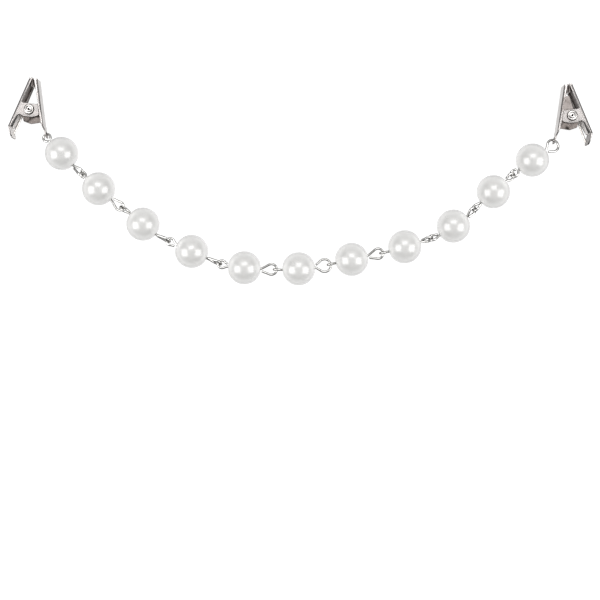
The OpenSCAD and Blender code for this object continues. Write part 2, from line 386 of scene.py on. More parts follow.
# Cloudy stains and a fine grain in object space, for colour, roughness and relief
def makeWearGroup():
    tree = bpy.data.node_groups.new("surfaceWear", "ShaderNodeTree")
    addInputs(tree, {
        "Base Color": ("Color", (0.8, 0.8, 0.8, 1)),
        "Stain Color": ("Color", (0.5, 0.5, 0.5, 1)),
        "Stain Amount": ("Float", 0.2, 0, 1),
        "Cloud Scale": ("Float", 400, 1, 20000),
        "Grain Scale": ("Float", 6000, 1, 50000),
        "Roughness Low": ("Float", 0.15, 0, 1),
        "Roughness High": ("Float", 0.35, 0, 1),
    })
    addOutputs(tree, {"Color": "Color", "Roughness": "Float", "Height": "Float"})
    source = addNode(tree, "NodeGroupInput", -900, 0)
    coordinates = addNode(tree, "ShaderNodeTexCoord", -900, -400)
    cloud = addNode(tree, "ShaderNodeTexNoise", -650, 0, {
        "Vector": coordinates.outputs["Object"],
        "Scale": source.outputs["Cloud Scale"],
        "Detail": 3.0,
    })
    grain = addNode(tree, "ShaderNodeTexNoise", -650, -300, {
        "Vector": coordinates.outputs["Object"],
        "Scale": source.outputs["Grain Scale"],
        "Detail": 4.0,
    })
    spread = addNode(tree, "ShaderNodeMapRange", -450, 0, {
        "Value": cloud.outputs[0],
        "From Min": 0.42,
        "From Max": 0.72,
    }, interpolation_type="SMOOTHSTEP")
    stain = source.outputs["Stain Color"]
    amount = addMath(tree, "MULTIPLY", -250, 0, spread.outputs["Result"], source.outputs["Stain Amount"])
    tint = addColorMix(tree, -50, 100, amount, source.outputs["Base Color"], stain)
    masks = {0: 0.4, 2: cloud.outputs[0], 3: grain.outputs[0]}
    both = addNode(tree, "ShaderNodeMix", -250, -250, masks, data_type="FLOAT")
    rough = addNode(tree, "ShaderNodeMapRange", -50, -200, {
        "Value": both.outputs[0],
        "From Min": 0.3,
        "From Max": 0.7,
        "To Min": source.outputs["Roughness Low"],
        "To Max": source.outputs["Roughness High"],
    })
    addNode(tree, "NodeGroupOutput", 200, 0, {
        "Color": tint,
        "Roughness": rough.outputs["Result"],
        "Height": grain.outputs[0],
    })
    return tree


wearGroup = makeWearGroup()
bumpDistance = 0.00002  # metres


# Inputs of the wear group; rough is the lowest and highest roughness
def wear(base, stain, amount, cloud, grain, rough):
    return {
        "Base Color": (*base, 1),
        "Stain Color": (*stain, 1),
        "Stain Amount": amount,
        "Cloud Scale": cloud,
        "Grain Scale": grain,
        "Roughness Low": rough[0],
        "Roughness High": rough[1],
    }


def wornMaterial(name, look):
    material = bpy.data.materials.new(name)
    material.use_nodes = True
    tree = material.node_tree
    tree.nodes.clear()
    group = addNode(tree, "ShaderNodeGroup", -200, 0, look["wear"], node_tree=wearGroup)
    principled = addNode(tree, "ShaderNodeBsdfPrincipled", 100, 0, {
        "Base Color": group.outputs["Color"],
        "Roughness": group.outputs["Roughness"],
        **look["shader"],
    })
    if "bump" in look:
        relief = addNode(tree, "ShaderNodeBump", -50, -300, {
            "Strength": look["bump"],
            "Distance": bumpDistance,
            "Height": group.outputs["Height"],
        })
        tree.links.new(relief.outputs["Normal"], principled.inputs["Normal"])
    addNode(tree, "ShaderNodeOutputMaterial", 400, 0, {"Surface": principled.outputs["BSDF"]})
    return material


pearlLook = {
    "wear": wear(
        base=(0.79, 0.785, 0.775), stain=(0.76, 0.75, 0.735), amount=0.35,
        cloud=220.0, grain=2500.0, rough=(0.26, 0.34),
    ),
    "shader": {
        "Metallic": 0.05,
        "IOR": 1.6,
        "Coat Weight": 1.0,
        "Coat Roughness": 0.22,
        "Coat IOR": 1.65,
    },
    # Painted light: the colour is multiplied by middleTone facing the camera, rising to rimTone at the rim
    "paintedRim": {
        "start": 0.12,
        "end": 0.5,
        "middleTone": (0.65, 0.65, 0.645, 1),
        "rimTone": (1.0, 1.0, 1.0, 1),
    },
}
sheetLook = {
    "wear": wear(
        base=(0.67, 0.635, 0.62), stain=(0.52, 0.47, 0.445), amount=0.3,
        cloud=380.0, grain=7000.0, rough=(0.14, 0.28),
    ),
    "shader": {"Metallic": 1.0},
    "bump": 0.06,
}
# Painted shade: a darker copy of the sheet metal for the inside of the channels, the pads and the web's
# upper face
paintedShadeLook = {
    "wear": wear(
        base=(0.31, 0.275, 0.26), stain=(0.12, 0.10, 0.09), amount=0.6,
        cloud=700.0, grain=7000.0, rough=(0.35, 0.55),
    ),
    "shader": {"Metallic": 0.5},
    "bump": 0.15,
}
# Dark painted shade: a near-black copy of the metal for the inner lever's cheek below the dark line and
# the inside of the right clip's lip
cheekLook = {
    "wear": wear(
        base=(0.27, 0.235, 0.22), stain=(0.02, 0.017, 0.015), amount=1.0,
        cloud=600.0, grain=7000.0, rough=(0.2, 0.36),
    ),
    "shader": {"Metallic": 1.0},
    "bump": 0.15,
}
# Painted light and painted reflection: a pale, nearly matte copy of the metal that makes the lower cheeks,
# the low inner faces and the left lip's inside look lit
paintedLightLook = {
    "wear": wear(
        base=(0.86, 0.83, 0.81), stain=(0.55, 0.51, 0.49), amount=0.5,
        cloud=700.0, grain=7000.0, rough=(0.3, 0.45),
    ),
    "shader": {"Metallic": 0.15},
    "bump": 0.15,
}
# Black painted shade: near-black metal for the rounded edges, the deep inside of the channels below the
# dark line and the steep faces of the rivet
blackShadeLook = {
    "wear": wear(
        base=(0.05, 0.044, 0.04), stain=(0.02, 0.017, 0.015), amount=0.5,
        cloud=900.0, grain=9000.0, rough=(0.4, 0.6),
    ),
    "shader": {"Metallic": 1.0},
}
rivetLook = {
    "wear": wear(
        base=(0.78, 0.755, 0.735), stain=(0.5, 0.46, 0.43), amount=0.2,
        cloud=900.0, grain=9000.0, rough=(0.1, 0.24),
    ),
    "shader": {"Metallic": 1.0},
}
wireLook = {
    "wear": wear(
        base=(0.64, 0.635, 0.62), stain=(0.34, 0.325, 0.31), amount=0.3,
        cloud=900.0, grain=9000.0, rough=(0.08, 0.2),
    ),
    "shader": {"Metallic": 1.0, "Specular Tint": (0.25, 0.24, 0.23, 1)},
}
springLook = {
    "wear": wear(
        base=(0.72, 0.69, 0.66), stain=(0.38, 0.34, 0.31), amount=0.4,
        cloud=900.0, grain=9000.0, rough=(0.2, 0.36),
    ),
    "shader": {"Metallic": 1.0},
}


# Painted light: the pearl's base colour is darker facing the camera and lighter towards its rim, standing
# in for light thrown up from the white table
def paintRimLight(material, settings):
    tree = material.node_tree
    principled = next(n for n in tree.nodes if n.type == "BSDF_PRINCIPLED")
    group = next(n for n in tree.nodes if n.type == "GROUP")
    facing = addNode(tree, "ShaderNodeLayerWeight", -600, 300, {"Blend": 0.5})
    share = addNode(tree, "ShaderNodeMapRange", -400, 300, {
        "Value": facing.outputs["Facing"],
        "From Min": settings["start"],
        "From Max": settings["end"],
    }, interpolation_type="SMOOTHSTEP")
    toward = share.outputs["Result"]
    tone = addColorMix(tree, -200, 300, toward, settings["middleTone"], settings["rimTone"])
    shade = addColorMix(tree, -20, 200, 1.0, group.outputs["Color"], tone, "MULTIPLY")
    tree.links.new(shade, principled.inputs["Base Color"])


pearlMaterial = wornMaterial("pearlMaterial", pearlLook)
paintRimLight(pearlMaterial, pearlLook["paintedRim"])
sheetMaterial = wornMaterial("sheetMaterial", sheetLook)
paintedShadeMaterial = wornMaterial("paintedShadeMaterial", paintedShadeLook)
cheekMaterial = wornMaterial("cheekMaterial", cheekLook)
paintedLightMaterial = wornMaterial("paintedLightMaterial", paintedLightLook)
blackShadeMaterial = wornMaterial("blackShadeMaterial", blackShadeLook)
rivetMaterial = wornMaterial("rivetMaterial", rivetLook)
wireMaterial = wornMaterial("wireMaterial", wireLook)
springMaterial = wornMaterial("springMaterial", springLook)
print("materials made")


# Pearls

# The strand as it lies: centre x and y, direction of the hole, left loop's width
# and roll, right loop's length from the pearl, width and roll
strandSettings = {
    "pearlRadius": 5.0,
    "wireDiameter": 0.7,
    "linkPlay": 0.2,
    "endLoopPlay": 0.1,
    "endLoopTilt": 20.0,
    "rows": [
        (-71.5, 8.4, -46.5, 3.0, 0, 4.4, 3.4, 55),
        (-60.4, -2.2, -42, 2.4, 35, 4.8, 3.4, 25),
        (-47.1, -12.8, -39, 3.0, 65, 5.0, 3.4, 75),
        (-32.5, -21.0, -24, 2.9, 20, 5.0, 3.6, 75),
        (-16.7, -25.9, -4, 3.0, 0, 5.1, 3.9, 8),
        (-0.4, -26.2, 4, 2.5, 90, 5.1, 4.5, 0),
        (15.5, -23.4, 13, 2.4, 90, 5.0, 3.8, 12),
        (31.4, -19.6, 17, 2.8, 90, 4.0, 3.2, 62),
        (46.0, -13.4, 34, 3.0, 50, 3.9, 3.2, 50),
        (58.0, -3.1, 40, 3.0, 55, 3.5, 3.1, 45),
        (69.7, 6.4, 35, 3.0, 30, 4.9, 4.3, 0),
    ],
}

pearlSettings = {
    "radius": 4.985,
    "holeRadius": 0.56,
    "lipRadius": 0.16,
    "lipSteps": 5,
    "boreStep": 1.2,
    "dimpleDepth": 0.07,
    "dimpleWidth": 9.0,
    "ringSteps": 96,
    "sideSteps": 72,
    "waveHeight": 0.012,
    "waveScale": 0.22,
    "seedStep": 3.7,
}

pearlRow = namedtuple("pearlRow", "x y hole leftWidth leftRoll rightLength rightWidth rightRoll")
rows = [pearlRow(*values) for values in strandSettings["rows"]]
pearlReach = strandSettings["pearlRadius"]
wireRadius = strandSettings["wireDiameter"] / 2


def direction(angle):
    return Vector((math.cos(rad(angle)), math.sin(rad(angle))))


# Where a pearl's hole opens: side 1 is the right end, -1 the left
def mouthPoint(i, side):
    row = rows[i]
    return Vector((row.x, row.y)) + direction(row.hole) * side * pearlReach


# From a pearl's right mouth to its neighbour's left one
def linkLine(i):
    return mouthPoint(i + 1, -1) - mouthPoint(i, 1)


def heading(flat):
    return math.degrees(math.atan2(flat.y, flat.x))


# Profile about the hole's axis, from one end of the bore over the skin to the other
def pearlProfile():
    s = pearlSettings
    edgeAngle = math.asin((s["holeRadius"] + s["lipRadius"]) / s["radius"])
    skin = []
    for k in range(s["sideSteps"] + 1):
        angle = edgeAngle + (math.pi - 2 * edgeAngle) * k / s["sideSteps"]
        fromHole = math.degrees(min(angle, math.pi - angle) - edgeAngle)
        sink = s["dimpleDepth"] * math.exp(-((fromHole / s["dimpleWidth"]) ** 2))
        radius = s["radius"] - sink
        skin.append((radius * math.sin(angle), -radius * math.cos(angle)))
    startR, startZ = skin[0]
    lip = arcPoints(startR, startZ + s["lipRadius"], s["lipRadius"], 270, 180, s["lipSteps"])[1:]
    boreEnd = startZ + s["boreStep"]
    bore = [(s["holeRadius"], boreEnd), (s["holeRadius"], 0), (s["holeRadius"], -boreEnd)]
    farLip = [(r, -z) for r, z in lip]
    # Runs up the outside, then down the bore
    return skin + farLip + bore[::-1] + lip[::-1]


profile = pearlProfile()
for i, row in enumerate(rows):
    pearl = lathe(f"pearl{i + 1:02d}", profile, pearlSettings["ringSteps"])
    runTree(pearl, skinTree, {
        "Wave Height": pearlSettings["waveHeight"],
        "Wave Scale": pearlSettings["waveScale"],
        "Seed": pearlSettings["seedStep"] * i,
        "Material": pearlMaterial,
    })
    place(pearl, shift(row.x, row.y, pearlReach) @ spin("Z", row.hole) @ spin("Y", 90))
    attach(pearl, "strand")
    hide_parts(f"pearl_{i + 1:02d}")
print("pearls made")


# Eye pins

pinSettings = {
    "lead": 0.12,
    "inside": 0.7,
    "tailStart": 0.3,
    "tailSide": 0.72,
    "steepest": 0.95,
    "arcSteps": 22,
    "cornerRounds": 2,
    "sides": 16,
    "spacing": 0.08,
    "endRounding": 0.14,
}


# Cuts the corners of a chain of points again and again, which rounds it
def roundPath(points, rounds):
    for _ in range(rounds):
        finer = [points[0]]
        for a, b in zip(points, points[1:]):
            finer.append(a * 0.75 + b * 0.25)
            finer.append(a * 0.25 + b * 0.75)
        finer.append(points[-1])
        points = finer
    return points


# The eye past one mouth: out along +X, round, and back beside the wire
def eyePath(length, width, roll, tilt, side):
    s = pinSettings
    ring = (width - strandSettings["wireDiameter"]) / 2
    near = length - width + wireRadius
    centreX = near + ring
    tangent = math.asin(min(s["steepest"], ring / (centreX - s["lead"])))
    start = math.pi / 2 + tangent
    tilting = shift(near, 0, 0) @ spin("Y", tilt) @ shift(-near, 0, 0)
    points = [Vector((s["lead"], 0, 0))]
    for k in range(s["arcSteps"] + 1):
        angle = start - 2 * start * k / s["arcSteps"]
        points.append(tilting @ Vector((
            centreX + ring * math.cos(angle),
            side * ring * math.sin(angle),
            0,
        )))
    points.append(Vector((s["tailStart"], -side * s["tailSide"], 0)))
    return [spin("X", roll) @ p for p in points]


def chainEdges(points):
    return [(k, k + 1) for k in range(len(points) - 1)]


lastRow = len(rows) - 1
for i, row in enumerate(rows):
    leftYaw = 0 if i == 0 else heading(linkLine(i - 1)) - row.hole
    rightYaw = 0 if i == lastRow else heading(linkLine(i)) - row.hole
    leftTilt = strandSettings["endLoopTilt"] if i == 0 else 0
    rightTilt = strandSettings["endLoopTilt"] if i == lastRow else 0
    leftLength = row.leftWidth + strandSettings["endLoopPlay"]
    if i > 0:
        spare = 2 * strandSettings["wireDiameter"] + strandSettings["linkPlay"]
        leftLength = linkLine(i - 1).length + spare - rows[i - 1].rightLength
    side = 1 if i % 2 == 0 else -1
    left = eyePath(leftLength, row.leftWidth, row.leftRoll, leftTilt, side)
    right = eyePath(row.rightLength, row.rightWidth, row.rightRoll, rightTilt, side)
    leftStand = shift(-pearlReach, 0, 0) @ spin("Z", 180 + leftYaw)
    rightStand = shift(pearlReach, 0, 0) @ spin("Z", rightYaw)
    inside = pearlReach - pinSettings["inside"]
    path = [leftStand @ p for p in reversed(left)]
    path += [Vector((-inside, 0, 0)), Vector((inside, 0, 0))]
    path += [rightStand @ p for p in right]
    path = roundPath(path, pinSettings["cornerRounds"])
    pin = addMesh(f"eyePin{i + 1:02d}", path, [], chainEdges(path))
    runTree(pin, wireTree, {
        "Wire Radius": wireRadius,
        "End Rounding": pinSettings["endRounding"],
        "Point Spacing": pinSettings["spacing"],
        "Sides": pinSettings["sides"],
        "Material": wireMaterial,
    })
    place(pin, shift(row.x, row.y, pearlReach) @ spin("Z", row.hole))
    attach(pin, "strand")
    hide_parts(f"pin_{i + 1:02d}")
print("eye pins made")


# Clip levers, drawn in the clip's own frame: rivet at the origin, jaws along +Y,
# finger lever on the left, ring lever on the right

clipSettings = {
    "leftPivot": (-80.8323, 21.2684),
    "leftTurn": -8.5,
    "rightPivot": (81.147, 19.4353),
    "rightTurn": 7.3,
    "halfAngle": 15.5,
    "fingerReach": 3.85,
    "ringReach": 3.5,
    "jawHeight": 9.6,
    "jawGap": 0.12,
    "heelHeight": -5.7,
    "channelEnd": -3.9,
    "middle": 4.0,
    "outerWidth": 7.1,
    "innerWidth": 6.1,
    "sheet": 0.4,
    "shrink": 0.012,
    "blankDepth": 9.0,
    "blankReach": (-7.5, 11.0),
    "boreRadius": 0.95,
    "tipRound": 0.3,
    "faceRound": 0.1,
    "shoulder": (0.35, 0.45),
    "darkDepth": 2.6,
    "sharpAngle": 42.0,
}

halfAngle = clipSettings["halfAngle"]
tanHalf = math.tan(rad(halfAngle))
cosHalf = math.cos(rad(halfAngle))
sinHalf = math.sin(rad(halfAngle))
jawTop = clipSettings["jawHeight"]
middleZ = clipSettings["middle"]
sheet = clipSettings["sheet"]
shrink = clipSettings["shrink"]
heelY = clipSettings["heelHeight"]
channelEnd = clipSettings["channelEnd"]


def fingerX(y):
    return -clipSettings["fingerReach"] / cosHalf + y * tanHalf


def ringX(y):
    return clipSettings["ringReach"] / cosHalf - y * tanHalf


jawX = (fingerX(jawTop) + ringX(jawTop)) / 2
jawHalfGap = clipSettings["jawGap"] / 2
foldSteps = 6


# U-shaped sheet: the profile is drawn as (depth from the back, height)
def channelProfile(width, fold):
    depth = clipSettings["blankDepth"]
    edge = width / 2
    middle = edge - fold
    inner = fold - sheet
    return (
        [(depth, -edge)]
        + arcPoints(fold, -middle, fold, 270, 180, foldSteps)
        + arcPoints(fold, middle, fold, 180, 90, foldSteps)
        + [(depth, edge), (depth, edge - sheet)]
        + arcPoints(fold, middle, inner, 90, 180, foldSteps)
        + arcPoints(fold, -middle, inner, 180, 270, foldSteps)
        + [(depth, sheet - edge)]
    )


# A lever's back line: a point on it, the way up along it and the way in from it;
# sign is the side of the lever, -1 for the finger lever and 1 for the ring lever
def backLine(backX, sign):
    along = Vector((-sign * sinHalf, cosHalf))
    inward = Vector((-sign * cosHalf, -sinHalf))
    return Vector((backX(0), 0)), along, inward


# Sweeps the profile straight along the lever's back
def channelBar(name, outline, origin, along, inward):
    count = len(outline)
    points = []
    for s in clipSettings["blankReach"]:
        for depth, z in outline:
            flat = origin + along * s + inward * depth
            points.append((flat.x, flat.y, middleZ + z))
    faces = [list(range(count)), list(reversed(range(count, 2 * count)))]
    for i in range(count):
        j = (i + 1) % count
        faces.append([i, i + count, j + count, j])
    return outwardFaces(addMesh(name, points, faces))


# Turns a closed shape's faces outwards, if its signed volume is negative
def outwardFaces(thing):
    mesh = thing.data
    mesh.calc_loop_triangles()
    volume = 0.0
    for triangle in mesh.loop_triangles:
        a, b, c = (mesh.vertices[v].co for v in triangle.vertices)
        volume += a.dot(b.cross(c)) / 6
    if volume < 0:
        mesh.flip_normals()
        mesh.update()
    return thing


bendSteps = 12


# A flat strip of sheet that follows a bend; stations are (distance, half width)
def bentStrip(name, startPoint, startAngle, bend, bendRadius, stations, inwardSide):
    turn = rad(bend)
    tangentLength = abs(bendRadius * math.tan(turn / 2))
    arcLength = abs(bendRadius * turn)

    def pathPoint(s):
        if s <= -tangentLength:
            return startPoint + direction(startAngle) * s, startAngle
        rest = s + tangentLength
        if rest < arcLength:
            bent = bend * rest / arcLength
            point = startPoint - direction(startAngle) * tangentLength
            for k in range(bendSteps):
                point += direction(startAngle + bent * (k + 0.5) / bendSteps) * rest / bendSteps
            return point, startAngle + bent
        point = startPoint + direction(startAngle + bend) * (tangentLength + rest - arcLength)
        return point, startAngle + bend

    points = []
    for s, width in stations:
        base, angle = pathPoint(s)
        normal = direction(angle + 90 * inwardSide)
        inset = shrink if s < 0 else 0.0
        for depth in (inset, sheet - inset):
            for z in (-width, width):
                flat = base + normal * depth
                points.append((flat.x, flat.y, middleZ + z))
    faces = []
    for k in range(len(stations) - 1):
        a = 4 * k
        b = a + 4
        faces += [[a, a + 1, b + 1, b], [a + 3, a + 2, b + 2, b + 3]]
        faces += [[a + 2, a, b, b + 2], [a + 1, a + 3, b + 3, b + 1]]
    end = 4 * (len(stations) - 1)
    faces += [[0, 2, 3, 1], [end, end + 1, end + 3, end + 2]]
    return outwardFaces(addMesh(name, points, faces))


def roundedEnd(length, halfWidth, corner, steps=9):
    return arcPoints(length - corner, halfWidth - corner, corner, 90, 0, steps)


# Corners are (x, y, radius); leads are (distance from the bend's corner, narrowing)
fingerSettings = {
    "windowY": 1.85,
    "windowCorner": 0.45,
    "marginHigh": 0.85,
    "marginLow": 1.3,
    "cheekMargin": 0.75,
    "cheekLow": -1.3,
    "archCorners": [(1.2, -2.25, 0.8), (-1.4, -2.25, 0.8), (-2.6, -1.75, 0.6), (-3.4, -2.3, 0.8)],
    "fold": 0.75,
    "darkLine": -1.6,
    "lipLength": 3.7,
    "lipBend": 38.0,
    "lipBendRadius": 0.7,
    "lipCorner": 1.8,
    "lipLead": [
        (-1.0, 0.8), (-0.45, 0.8), (-0.12, 0.62), (0.02, 0.3), (0.16, 0.08), (0.34, 0), (0.8, 0), (1.3, 0),
    ],
    # Inside of each lip: painted light on the left clip, dark painted shade on the right
    "leftLipInnerShading": "paintedLight",
    "rightLipInnerShading": "cheek",
    "edge": 0.09,
}
ringSettings = {
    "fold": 0.7,
    "darkLine": 1.0,
    "cheekEnd": 0.4,
    "rivetCorners": [(-2.4, -0.4, 1.0), (-1.6, 1.6, 0.8), (1.4, 1.75, 0.5)],
    "strapY": 2.2,
    "strapMargin": 0.7,
    "bulgeHigh": [(3.8, -3.4, 0.3), (1.2, -4.2, 1.0), (-1.15, -3.7, 0.5)],
    "bulgeLow": [(2.5, -2.8, 0.3), (-0.1, -3.6, 1.0), (-2.4, -3.15, 0.5)],
    "tabBend": 8.0,
    "tabBendRadius": 1.2,
    "tabHalfWidth": 1.7,
    "tabLength": 3.8,
    "tabCorner": 1.2,
    "tabLead": [(-1.0, 0.8), (-0.4, 0.8), (-0.15, 0.6), (0.0, 0.25), (0.12, 0)],
    "tabTaper": (0.25, 1.3),
    "tabTaperSteps": 8,
    "tabStraight": (1.7, 2.2),
    "tabHoleAt": 2.5,
    "tabHole": 0.8,
    "drillReach": 1.5,
    "webTop": 6.0,
    "webLow": 1.5,
    "webInset": 0.3,
    "webSide": (0.06, -0.79),
    "webEdge": 0.05,
    "edge": 0.09,
}
jawSettings = {
    "foldDrop": 0.5,
    "foldBack": 0.3,
    "foldInset": 0.03,
    "topInset": 0.02,
    "foldEdge": 0.07,
    "padLength": 2.48,
    "padInset": 0.52,
    "padOverlap": 0.1,
    "padEdge": 0.1,
    "brightEnd": 0.35,
}
cutReach = 5
prismLow = middleZ - cutReach
prismHigh = middleZ + cutReach
outside = 1  # an outline's open corners stand this far behind the lever's back
justOutside = 0.01

# The levers' materials, in the order of their material slots: the plain sheet metal, then painted shade,
# dark painted shade, painted light and black painted shade
leverMaterials = {
    "sheet": sheetMaterial,
    "paintedShade": paintedShadeMaterial,
    "cheek": cheekMaterial,
    "paintedLight": paintedLightMaterial,
    "groove": blackShadeMaterial,
}
slotOf = list(leverMaterials).index


def addLeverMaterials(thing):
    for material in leverMaterials.values():
        thing.data.materials.append(material)


# The folded tip of a lever and the gripping pad inside it
def makeJaw(name, backX, sign, width):
    s = jawSettings
    faceX = jawX + sign * (jawHalfGap + shrink)
    top = jawTop - s["topInset"]
    foldLow = jawTop - s["foldDrop"] + s["topInset"]
    halfWidth = width / 2 - shrink
    fold = prism(name, [
        (backX(jawTop) - sign * s["foldBack"], top),
        (backX(foldLow) - sign * s["foldInset"], foldLow),
        (faceX, foldLow),
        (faceX, top),
    ], middleZ - halfWidth, middleZ + halfWidth)
    softenEdges(fold, s["foldEdge"], 3)
    padBack = jawX + sign * (jawHalfGap + sheet - shrink)
    padTop = foldLow + s["padOverlap"]
    padLow = jawTop - s["padLength"]
    padWidth = width / 2 - sheet - s["padInset"]
    pad = prism(name + "Pad", [
        (padBack, padTop),
        (padBack, padLow),
        (faceX, padLow),
        (faceX, padTop),
    ], middleZ - padWidth, middleZ + padWidth)
    softenEdges(pad, s["padEdge"], 3)
    # The pad gets painted shade, all but its lower end, which stays plain sheet
    for face in pad.data.polygons:
        bright = face.center.y <= padLow + s["brightEnd"]
        face.material_index = slotOf("sheet" if bright else "paintedShade")
    return [fold, pad]


# Cuts the upper cheek of a channel back to a narrower outline
def trimUpperCheek(bar, outline):
    far = 20
    square = [(-far, -far), (far, -far), (far, far), (-far, far)]
    waste = prism("waste", square, middleZ, prismHigh)
    carve(waste, prism("outline", outline, prismLow, prismHigh), "DIFFERENCE")
    return carve(bar, waste, "DIFFERENCE")


# Cuts the faces where the painted shade and painted light begin, without opening the mesh
def splitFaces(thing, darkLine):
    work = bmesh.new()
    work.from_mesh(thing.data)
    cuts = [((0, darkLine, 0), (0, 1, 0)), ((0, 0, clipSettings["darkDepth"]), (0, 0, 1))]
    for point, normal in cuts:
        everything = work.verts[:] + work.edges[:] + work.faces[:]
        bmesh.ops.bisect_plane(work, geom=everything, plane_co=point, plane_no=normal)
    work.to_mesh(thing.data)
    work.free()


# Limits for telling faces apart: how level a cheek is and how deep it starts, the
# slack in finding the hollow side, the lip's inner face, the web's upper face
faceLimits = {"level": 0.7, "cheekDepth": 0.65, "slack": 0.05, "lipIn": 0.5, "lipStart": 0.3, "webUp": 0.9}


# Gives each face of a channel its material; below the dark line the hollow side and the inner lever's
# cheek are darker. This is painted light and shade: the inner lever's cheek below the line gets dark
# painted shade, the other lower cheeks a pale painted-light copy, the inside painted shade above the line
# and, below it, black painted shade with painted light nearest the table
def markChannel(bar, origin, inward, width, darkLine):
    innerLever = width < clipSettings["outerWidth"]
    wall = sheet - faceLimits["slack"]
    for face in bar.data.polygons:
        centre = face.center
        depth = (Vector(centre[:2]) - origin).dot(inward)
        below = centre.y < darkLine
        level = abs(face.normal.z) > faceLimits["level"] and depth > faceLimits["cheekDepth"]
        inside = depth > wall and abs(centre.z - middleZ) < width / 2 - wall
        if level and innerLever and below:
            shading = "cheek"
        elif level and centre.z < middleZ:
            shading = "paintedLight"
        elif level or not inside:
            shading = "sheet"
        elif not below:
            shading = "paintedShade"
        elif centre.z < clipSettings["darkDepth"]:
            shading = "paintedLight"
        else:
            shading = "groove"
        face.material_index = slotOf(shading)


def finishChannel(bar, origin, inward, width, settings):
    bore = disc("bore", clipSettings["boreRadius"], prismLow, prismHigh)
    carve(bar, bore, "DIFFERENCE")
    addLeverMaterials(bar)
    splitFaces(bar, settings["darkLine"])
    markChannel(bar, origin, inward, width, settings["darkLine"])
    # The rounded edges get black painted shade
    softenEdges(bar, settings["edge"], shading=slotOf("groove"))


# Cheek's corners at the jaw's tip
def tipCorners(backX, sign):
    high, low = clipSettings["shoulder"]
    return [
        (backX(jawTop), jawTop, clipSettings["tipRound"]),
        (backX(jawTop - high) + sign * justOutside, jawTop - high, 0),
        (backX(jawTop - low) + sign * outside, jawTop - low, 0),
    ]


def fingerOutline(margin):
    s = fingerSettings
    windowY = s["windowY"]
    tip, shoulderHigh, shoulderLow = tipCorners(fingerX, -1)
    return roundedOutline([
        tip,
        (jawX - jawHalfGap, jawTop, clipSettings["faceRound"]),
        (fingerX(windowY) + margin, windowY, s["windowCorner"]),
        (ringX(windowY) - s["cheekMargin"], windowY, 0.15),
        (ringX(s["cheekLow"]) - s["cheekMargin"], s["cheekLow"], 0.7),
        *s["archCorners"],
        (fingerX(heelY) + s["cheekMargin"], heelY, 0.1),
        (fingerX(heelY) - outside, heelY, 0),
        shoulderLow,
        shoulderHigh,
    ])


def makeFingerLever(name, lipInnerShading):
    s = fingerSettings
    origin, along, inward = backLine(fingerX, -1)
    width = clipSettings["outerWidth"]
    bar = channelBar(name + "Bar", channelProfile(width, s["fold"]), origin, along, inward)
    carve(bar, prism("outline", fingerOutline(s["marginLow"]), prismLow, prismHigh), "INTERSECT")
    trimUpperCheek(bar, fingerOutline(s["marginHigh"]))
    finishChannel(bar, origin, inward, width, s)
    stations = [(distance, width / 2 - less) for distance, less in s["lipLead"]]
    stations += roundedEnd(s["lipLength"], width / 2, s["lipCorner"])
    heel = Vector((fingerX(heelY), heelY))
    lip = bentStrip(name + "Lip", heel, -90 - halfAngle, s["lipBend"], s["lipBendRadius"], stations, 1)
    addLeverMaterials(lip)
    # The lip's inner face gets the painted light or painted shade set for its clip, the rest plain sheet
    lipTop = heelY - faceLimits["lipStart"]
    for face in lip.data.polygons:
        turnedIn = face.normal.xy.dot(inward) > faceLimits["lipIn"] and face.center.y < lipTop
        face.material_index = slotOf(lipInnerShading if turnedIn else "sheet")
    # The rounded edges get black painted shade
    softenEdges(lip, s["edge"], shading=slotOf("groove"))
    return joinParts(name, [bar, lip] + makeJaw(name + "Fold", fingerX, -1, width))


def ringOutline(bulge):
    s = ringSettings
    tip, shoulderHigh, shoulderLow = tipCorners(ringX, 1)
    return roundedOutline([
        tip,
        shoulderHigh,
        shoulderLow,
        (ringX(channelEnd) + outside, channelEnd, 0),
        (ringX(channelEnd) - s["cheekEnd"], channelEnd, 0.1),
        *bulge,
        *s["rivetCorners"],
        (ringX(s["strapY"]) - s["strapMargin"], s["strapY"], 0.3),
        (jawX + jawHalfGap, jawTop, clipSettings["faceRound"]),
    ])


# Widths of the tab: full at the channel, then a smooth taper to its neck
def tabStations(flat):
    s = ringSettings
    neck = s["tabHalfWidth"]
    stations = [(distance, flat - less) for distance, less in s["tabLead"]]
    start, end = s["tabTaper"]
    for k in range(1, s["tabTaperSteps"] + 1):
        share = k / s["tabTaperSteps"]
        wide = 0.5 + 0.5 * math.cos(math.pi * share)
        stations.append((start + (end - start) * share, neck + (flat - neck) * wide))
    stations += [(distance, neck) for distance in s["tabStraight"]]
    return stations + roundedEnd(s["tabLength"], neck, s["tabCorner"])


def makeTab(name, flat):
    s = ringSettings
    start = Vector((ringX(channelEnd), channelEnd))
    backAngle = -90 + halfAngle
    tab = bentStrip(name, start, backAngle, s["tabBend"], s["tabBendRadius"], tabStations(flat), -1)
    tabAngle = backAngle + s["tabBend"]
    holeAt = start + direction(tabAngle) * s["tabHoleAt"]
    drill = disc("drill", s["tabHole"], -s["drillReach"], s["drillReach"])
    drill.data.transform(shift(holeAt.x, holeAt.y, middleZ) @ spin("Z", tabAngle) @ spin("X", 90))
    carve(tab, drill, "DIFFERENCE")
    addLeverMaterials(tab)
    # The rounded edges get black painted shade
    return softenEdges(tab, s["edge"], shading=slotOf("groove"))


